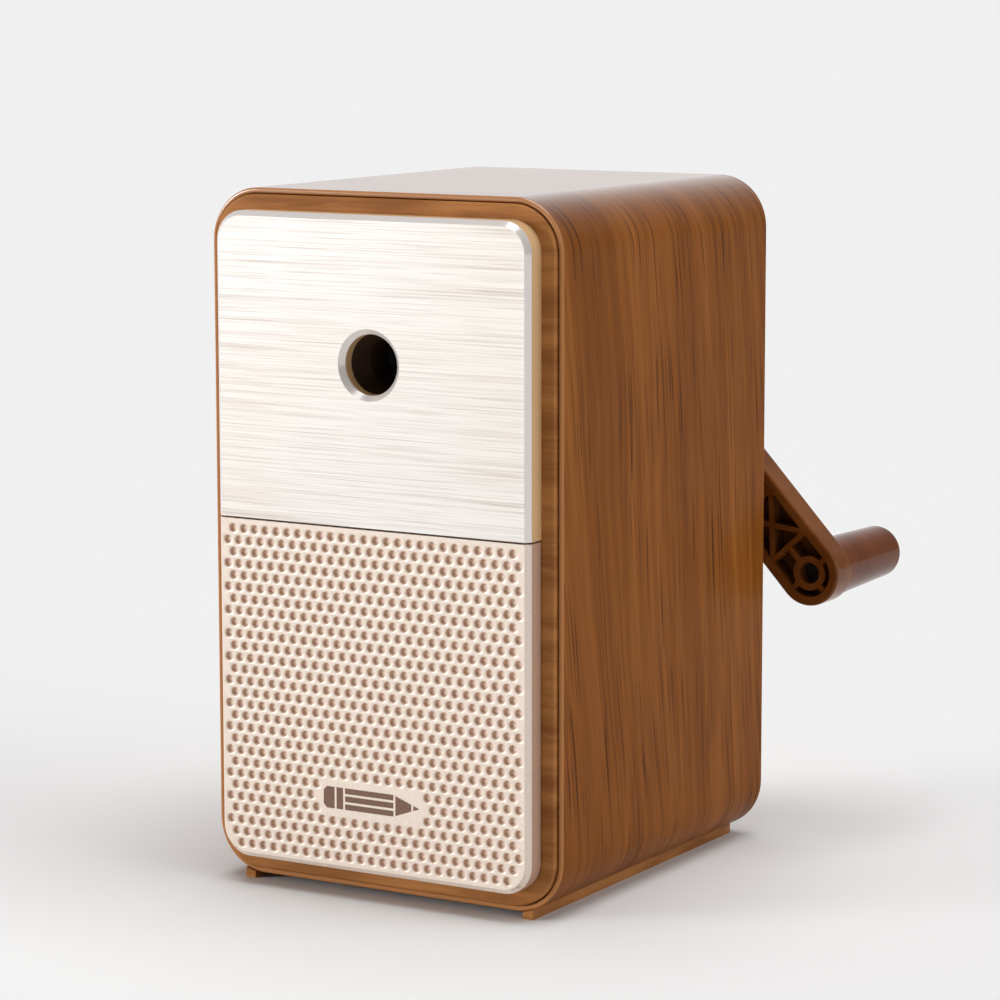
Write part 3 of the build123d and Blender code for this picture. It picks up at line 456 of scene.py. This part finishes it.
def drawerFace():
    low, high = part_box("drawer_front")
    front, back = low.y + panel["recess"], high.y
    bevel, wall = panel["bevel"], panel["wall"]
    flatHalf, flatLow, flatRadius = high.x - bevel, low.z + bevel, panel["cornerRadius"] - bevel
    pitch, rowPitch = panel["pitch"], panel["rowPitch"]
    around = panel["around"]
    # points round a cell of one by one, anticlockwise from the middle of its right side
    turns = np.arange(around) * 2 * math.pi / around
    ring = np.stack([np.cos(turns), np.sin(turns)], 1)
    square = ring / np.abs(ring).max(1, keepdims=True) / 2
    square = np.sign(square) * np.round(np.abs(square) * 4 + 0.01) / 4
    # centres of all cells, dimpled or blank; every other row has a half cell at each end
    centres, dimpled, halves = [], [], []
    top = high.z - panel["firstRow"]
    for row in range(panel["rows"]):
        z = top - row * rowPitch
        offset = 0.5 if row % 2 == 0 else 0.0
        count = panel["perRow"] - (1 if row % 2 == 0 else 0)
        x = (np.arange(count) - (count - 1) / 2) * pitch
        inBlankRow = panel["blankRows"][0] <= row <= panel["blankRows"][1]
        blank = inBlankRow & (np.abs(x) < panel["blankHalf"])
        if row == panel["rows"] - 1:
            blank |= np.abs(x) > panel["lastRowHalf"]
        centres.append(np.stack([x, np.full(count, z)], 1))
        dimpled.append(~blank)
        if row % 2 == 0:
            halves.append(z)
    centres, dimpled = np.concatenate(centres), np.concatenate(dimpled)
    cell = np.array([pitch, rowPitch])
    # a dimple's rings: the cell's edge, the rim's outside, its inside, and three circles of the bowl
    radius, depth = panel["dimpleRadius"], panel["dimpleDepth"]
    sphere = (radius**2 + depth**2) / (2 * depth)
    shares = np.array(panel["bowlRings"])
    bowl = np.sqrt(sphere**2 - (shares * radius) ** 2) - (sphere - depth) + panel["rimDepth"]
    radii = np.concatenate([[radius + panel["rim"]], shares * radius])
    depths = np.concatenate([[0.0], bowl])
    wells = centres[dimpled]
    edge = wells[:, None, :] + square * cell
    circles = wells[:, None, None, :] + radii[:, None, None] * ring
    flat = np.concatenate([edge[:, None], circles], 1)
    ys = np.concatenate([[0.0], depths])[None, :, None] * np.ones(flat.shape[:3])
    points = np.stack([flat[..., 0], front + ys, flat[..., 1]], -1).reshape(-1, 3)
    rings = len(depths) + 1
    base = np.arange(len(wells))[:, None] * rings * around
    faces = (base[..., None] + ringFaces(rings, around)).reshape(-1, 4).tolist()
    faces += (base + (rings - 1) * around + np.arange(around)).tolist()
    blocks = [points]
    start = len(points)

    def plate(xs, zs):
        nonlocal start
        blocks.append(np.stack([xs, np.full(len(xs), front), zs], 1))
        faces.append(list(range(start, start + len(xs))))
        start += len(xs)

    for centre in centres[~dimpled]:
        plate(*(centre + square * cell).T)
    outer = panel["perRow"] / 2 * pitch
    halfCell = np.array([(0, 0), (0, 1), (0, 2), (0, 3), (0, 4), (1, 4),
                         (2, 4), (2, 3), (2, 2), (2, 1), (2, 0), (1, 0)]) / 4
    for z in halves:
        for side in (-1, 1):
            across = outer - halfCell[:, 0] * pitch
            up = z + (halfCell[:, 1] - 0.5) * rowPitch
            plate((side * across)[::side], up[::side])
    columns = np.linspace(-outer, outer, panel["perRow"] * 4 + 1)
    bottomEdge = top - (panel["rows"] - 0.5) * rowPitch
    for a, b in zip(columns[:-1], columns[1:]):
        plate(np.array([a, b, b, a]), np.array([top + rowPitch / 2] * 2 + [high.z] * 2))
        plate(np.array([a, b, b, a]), np.array([low.z] * 2 + [bottomEdge] * 2))
    points = np.concatenate(blocks)
    x = points[:, 0]
    x = np.where(np.abs(x) > outer - onEdge, np.sign(x) * flatHalf, x)
    onFace = points[:, 1] < front + onPlane
    snapped = snapInside(x, points[:, 2], flatHalf, flatLow, high.z, flatRadius)
    points[onFace, 0], points[onFace, 2] = snapped[0][onFace], snapped[1][onFace]
    # the outline, clockwise seen from the front, and the rings behind it
    levels = top + (0.5 - np.arange(panel["rows"] * 4 + 1) / 4) * rowPitch
    levels = np.concatenate([[high.z], levels, [low.z]])
    edgeX = np.concatenate([columns[:-1], np.full(len(levels) - 1, flatHalf),
                            columns[:0:-1], np.full(len(levels) - 1, -flatHalf)])
    edgeZ = np.concatenate([np.full(len(columns) - 1, high.z), levels[:-1],
                            np.full(len(columns) - 1, low.z), levels[:0:-1]])
    edgeX = np.where(np.abs(edgeX) > outer - onEdge, np.sign(edgeX) * flatHalf, edgeX)
    edgeX, edgeZ = snapInside(edgeX, edgeZ, flatHalf, flatLow, high.z, flatRadius)
    # outwards from the outline: radially round the corners, sideways or downwards along the edges
    pastX, pastZ = np.abs(edgeX) - (flatHalf - flatRadius), flatLow + flatRadius - edgeZ
    outX = np.where(pastZ > 0, np.maximum(pastX, 0.0) / flatRadius, pastX > flatRadius - onPlane)
    outZ = np.where(pastX > 0, np.maximum(pastZ, 0.0) / flatRadius, pastZ > flatRadius - onPlane)
    wideX, wideZ = edgeX + np.sign(edgeX) * outX * bevel, edgeZ - outZ * bevel
    thinX, thinZ = snapInside(wideX, wideZ, high.x - wall, low.z + wall, high.z - wall,
                              panel["cornerRadius"] - wall)
    loops = [(edgeX, front, edgeZ), (wideX, front + bevel, wideZ), (wideX, back, wideZ),
             (thinX, back, thinZ), (thinX, low.y + panel["skin"], thinZ)]
    count = len(edgeX)
    outline = [np.stack([atX, np.full(count, atY), atZ], 1) for atX, atY, atZ in loops]
    faces += (len(points) + ringFaces(len(loops), count)).tolist()
    faces.append((len(points) + (len(loops) - 1) * count + np.arange(count)).tolist())
    return merged(np.concatenate([points, *outline]), faces)


def panelShadeAndSides(r, colour):
    # painted shade in the dimples: a brown darkening that grows with depth and is much stronger on the
    # left wall of each dimple, away from the key light; and bare brown moulding at the sides
    low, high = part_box("drawer_front")
    x, y, z = (r.axis(r.place, letter) for letter in "XYZ")
    row = ((high.z - panel["firstRow"] - z) * (1.0 / panel["rowPitch"]) + 0.5).whole()
    across = (x * (1.0 / panel["pitch"]) - row * 0.5 + 1.0).part() - 0.5
    # painted shade: the left wall of each dimple, turned away from the key light, is painted darker
    left = r.between(across, 0.20, -0.22)
    inside = r.between(y, low.y + panel["hollowShadeFrom"], low.y + panel["hollowShadeFull"])
    faceHalf, faceLow = high.x - panel["bevel"], low.z + panel["bevel"]
    onFace = r.between(x.size(), faceHalf - 0.05 * mm, faceHalf - 0.2 * mm)
    onFace = onFace * r.between(z, faceLow + 0.05 * mm, faceLow + 0.2 * mm)
    # painted shade: brown laid into the hollows, deeper with depth and heavier on the left walls
    hollowShaded = r.mix(inside * onFace * (panel["hollowShade"] + panel["leftHollowShade"] * left), colour, fleck["hollowShade"])
    bare = r.between(y, low.y + panel["sideFrom"], low.y + panel["sideFull"])
    return r.mix(bare, hollowShaded, fleck["side"])


creamPanel = fleckMaterial("creamPanel", fleck["cream"], fleck["creamDeep"], panelShadeAndSides)
drawerPanel = addPiece("dimpled_panel", *drawerFace(), creamPanel)
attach(drawerPanel, "drawer")
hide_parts("drawer_front")
print("dimpled panel:", len(drawerPanel.data.polygons), "faces")


# Printed mark: a plain pencil, as flat plates let into the face of the drawer.
mark = {
    "length": 20.0 * mm,
    "height": 3.9 * mm,
    "gap": 0.42 * mm,
    "cut": 0.7 * mm,  # corners of the rubber
    "rubberEnd": 2.3 * mm,  # from the pencil's end, as bandEnd
    "bandEnd": 4.1 * mm,
    "coneBack": 5.4 * mm,  # from the pencil's point, as leadBack
    "leadBack": 1.7 * mm,
    "thickness": 0.3 * mm,
    "colour": (0.10, 0.045, 0.022),
    "roughness": 0.42,
    "grain": 2200.0,
    "grainDepth": 0.01 * mm,
}


def markMaterial():
    r = Recipe("printedBrown")
    grain = r.speckle(mark["grain"])
    return r.finish(Base_Color=r.mix(grain * 0.5, mark["colour"], fleck["creamDeep"]),
                    Roughness=mark["roughness"] + (grain - 0.5) * 0.15,
                    Normal=r.bump(grain, mark["grainDepth"], 0.3))


def markPieces():
    low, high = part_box("drawer_front")
    rowZ = high.z - panel["firstRow"] - (panel["blankRows"][0] + 1) * panel["rowPitch"]
    half, tall, gap = mark["length"] / 2, mark["height"] / 2, mark["gap"]
    rubber, band = mark["rubberEnd"] - half, mark["bandEnd"] - half
    body, lead = half - mark["coneBack"], half - mark["leadBack"]
    cut = mark["cut"]
    shaft = (2 * tall - 2 * gap) / 3
    slope = tall / (half - body)
    coneBack, coneFront, point = (slope * (half - x) for x in (body + gap, lead, lead + gap))
    outlines = [
        [(-half + cut, -tall), (rubber, -tall), (rubber, tall), (-half + cut, tall),
         (-half, tall - cut), (-half, -tall + cut)],
        [(rubber + gap, -tall), (band, -tall), (band, tall), (rubber + gap, tall)],
        [(body + gap, -coneBack), (lead, -coneFront), (lead, coneFront), (body + gap, coneBack)],
        [(lead + gap, -point), (half, 0.0), (lead + gap, point)],
    ]
    for stripe in range(3):
        z = -tall + stripe * (shaft + gap)
        outlines.append([(band + gap, z), (body, z), (body, z + shaft), (band + gap, z + shaft)])
    points, faces, start = [], [], 0
    for outline in outlines:
        x, z = np.array(outline).T
        count = len(x)
        for y in (low.y, low.y + mark["thickness"]):
            points.append(np.stack([x, np.full(count, y), z + rowZ], 1))
        faces.append((start + np.arange(count)).tolist())
        faces += (start + ringFaces(2, count)[:, ::-1]).tolist()
        faces.append((start + count + np.arange(count))[::-1].tolist())
        start += 2 * count
    return np.concatenate(points), faces


pencilMark = addPiece("pencil_mark", *markPieces(), markMaterial(), sharpAngle=20.0)
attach(pencilMark, "drawer")
print("printed mark made")


# Floor, lights and camera
studio = {
    "floorHalf": 16.0,
    "floorColour": (0.80, 0.80, 0.80),
    "floorPatches": (0.78, 0.78, 0.78),
    "floorSpecular": 0.1,
    "floorRoughness": 0.85,
    "sky": 0.92,
    "skyFront": 0.14,
    "skyTip": -0.25,  # the bright end of the sky lies a little below the horizon
    "skyFrom": 0.35,  # the sky starts to brighten here and is full at skyFull
    "skyFull": 0.95,
    "suns": {
        "key": dict(place=(-1.3, -1.15, 0.20), strength=2.4, softness=24.0),
        "side": dict(place=(1.5, 0.25, 0.7), strength=1.1, softness=60.0),
        "top": dict(place=(0.1, 0.1, 1.5), strength=2.1, softness=50.0),
    },
    "lens": 130.37,
    "eye": (0.337703, -0.564741, 0.164038),
    "azimuth": 30.8212,
    "elevation": 8.4359,
    "roll": -0.0806,
}


def makeFloor():
    half = studio["floorHalf"]
    corners = np.array([(-half, -half, 0.0), (half, -half, 0.0), (half, half, 0.0), (-half, half, 0.0)])
    r = Recipe("paleFloor", **{"Specular IOR Level": studio["floorSpecular"]})
    cloud = r.speckle(3.0)
    material = r.finish(Base_Color=r.mix(cloud * 0.04, studio["floorColour"], studio["floorPatches"]),
                        Roughness=studio["floorRoughness"] + cloud * 0.1)
    addPiece("floor", corners, [[0, 1, 2, 3]], material)


def makeSky():
    # brighter behind the object than in front of it, as in a booth that is open to the camera
    world = bpy.data.worlds.new("booth")
    bpy.context.scene.world = world
    world.use_nodes = True
    tree = world.node_tree
    turn = math.radians(studio["azimuth"])
    place = tree.nodes.new("ShaderNodeTexCoord")
    away = tree.nodes.new("ShaderNodeVectorMath")
    away.operation = "DOT_PRODUCT"
    away.inputs[1].default_value = (-math.sin(turn), math.cos(turn), studio["skyTip"])
    level = tree.nodes.new("ShaderNodeMapRange")
    level.interpolation_type = "SMOOTHSTEP"
    limits = {"From Min": "skyFrom", "From Max": "skyFull", "To Min": "skyFront", "To Max": "sky"}
    for socket, name in limits.items():
        level.inputs[socket].default_value = studio[name]
    tree.links.new(place.outputs["Generated"], away.inputs[0])
    tree.links.new(away.outputs["Value"], level.inputs["Value"])
    tree.links.new(level.outputs["Result"], tree.nodes["Background"].inputs["Strength"])
    tree.nodes["Background"].inputs["Color"].default_value = (1.0, 1.0, 1.0, 1.0)


def makeSuns():
    for name, look in studio["suns"].items():
        light = bpy.data.lights.new(name, "SUN")
        light.energy = look["strength"]
        light.angle = math.radians(look["softness"])
        sun = bpy.data.objects.new(name, light)
        bpy.context.scene.collection.objects.link(sun)
        x, y, z = look["place"]
        tiltDown = math.atan2(math.hypot(x, y), z)
        sun.rotation_euler = (tiltDown, 0.0, math.atan2(y, x) + math.pi / 2)


def makeCamera():
    camera = bpy.data.objects.new("camera", bpy.data.cameras.new("camera"))
    bpy.context.scene.collection.objects.link(camera)
    camera.data.lens = studio["lens"]
    camera.data.clip_start = 0.05
    camera.data.clip_end = 60.0
    spin = Matrix.Rotation(math.radians(studio["azimuth"]), 4, "Z")
    tip = Matrix.Rotation(math.radians(90.0 - studio["elevation"]), 4, "X")
    roll = Matrix.Rotation(math.radians(studio["roll"]), 4, "Z")
    camera.matrix_world = Matrix.Translation(studio["eye"]) @ spin @ tip @ roll
    bpy.context.scene.camera = camera


makeFloor()
makeSky()
makeSuns()
makeCamera()
bpy.context.scene.view_settings.view_transform = "Standard"
print("studio set")
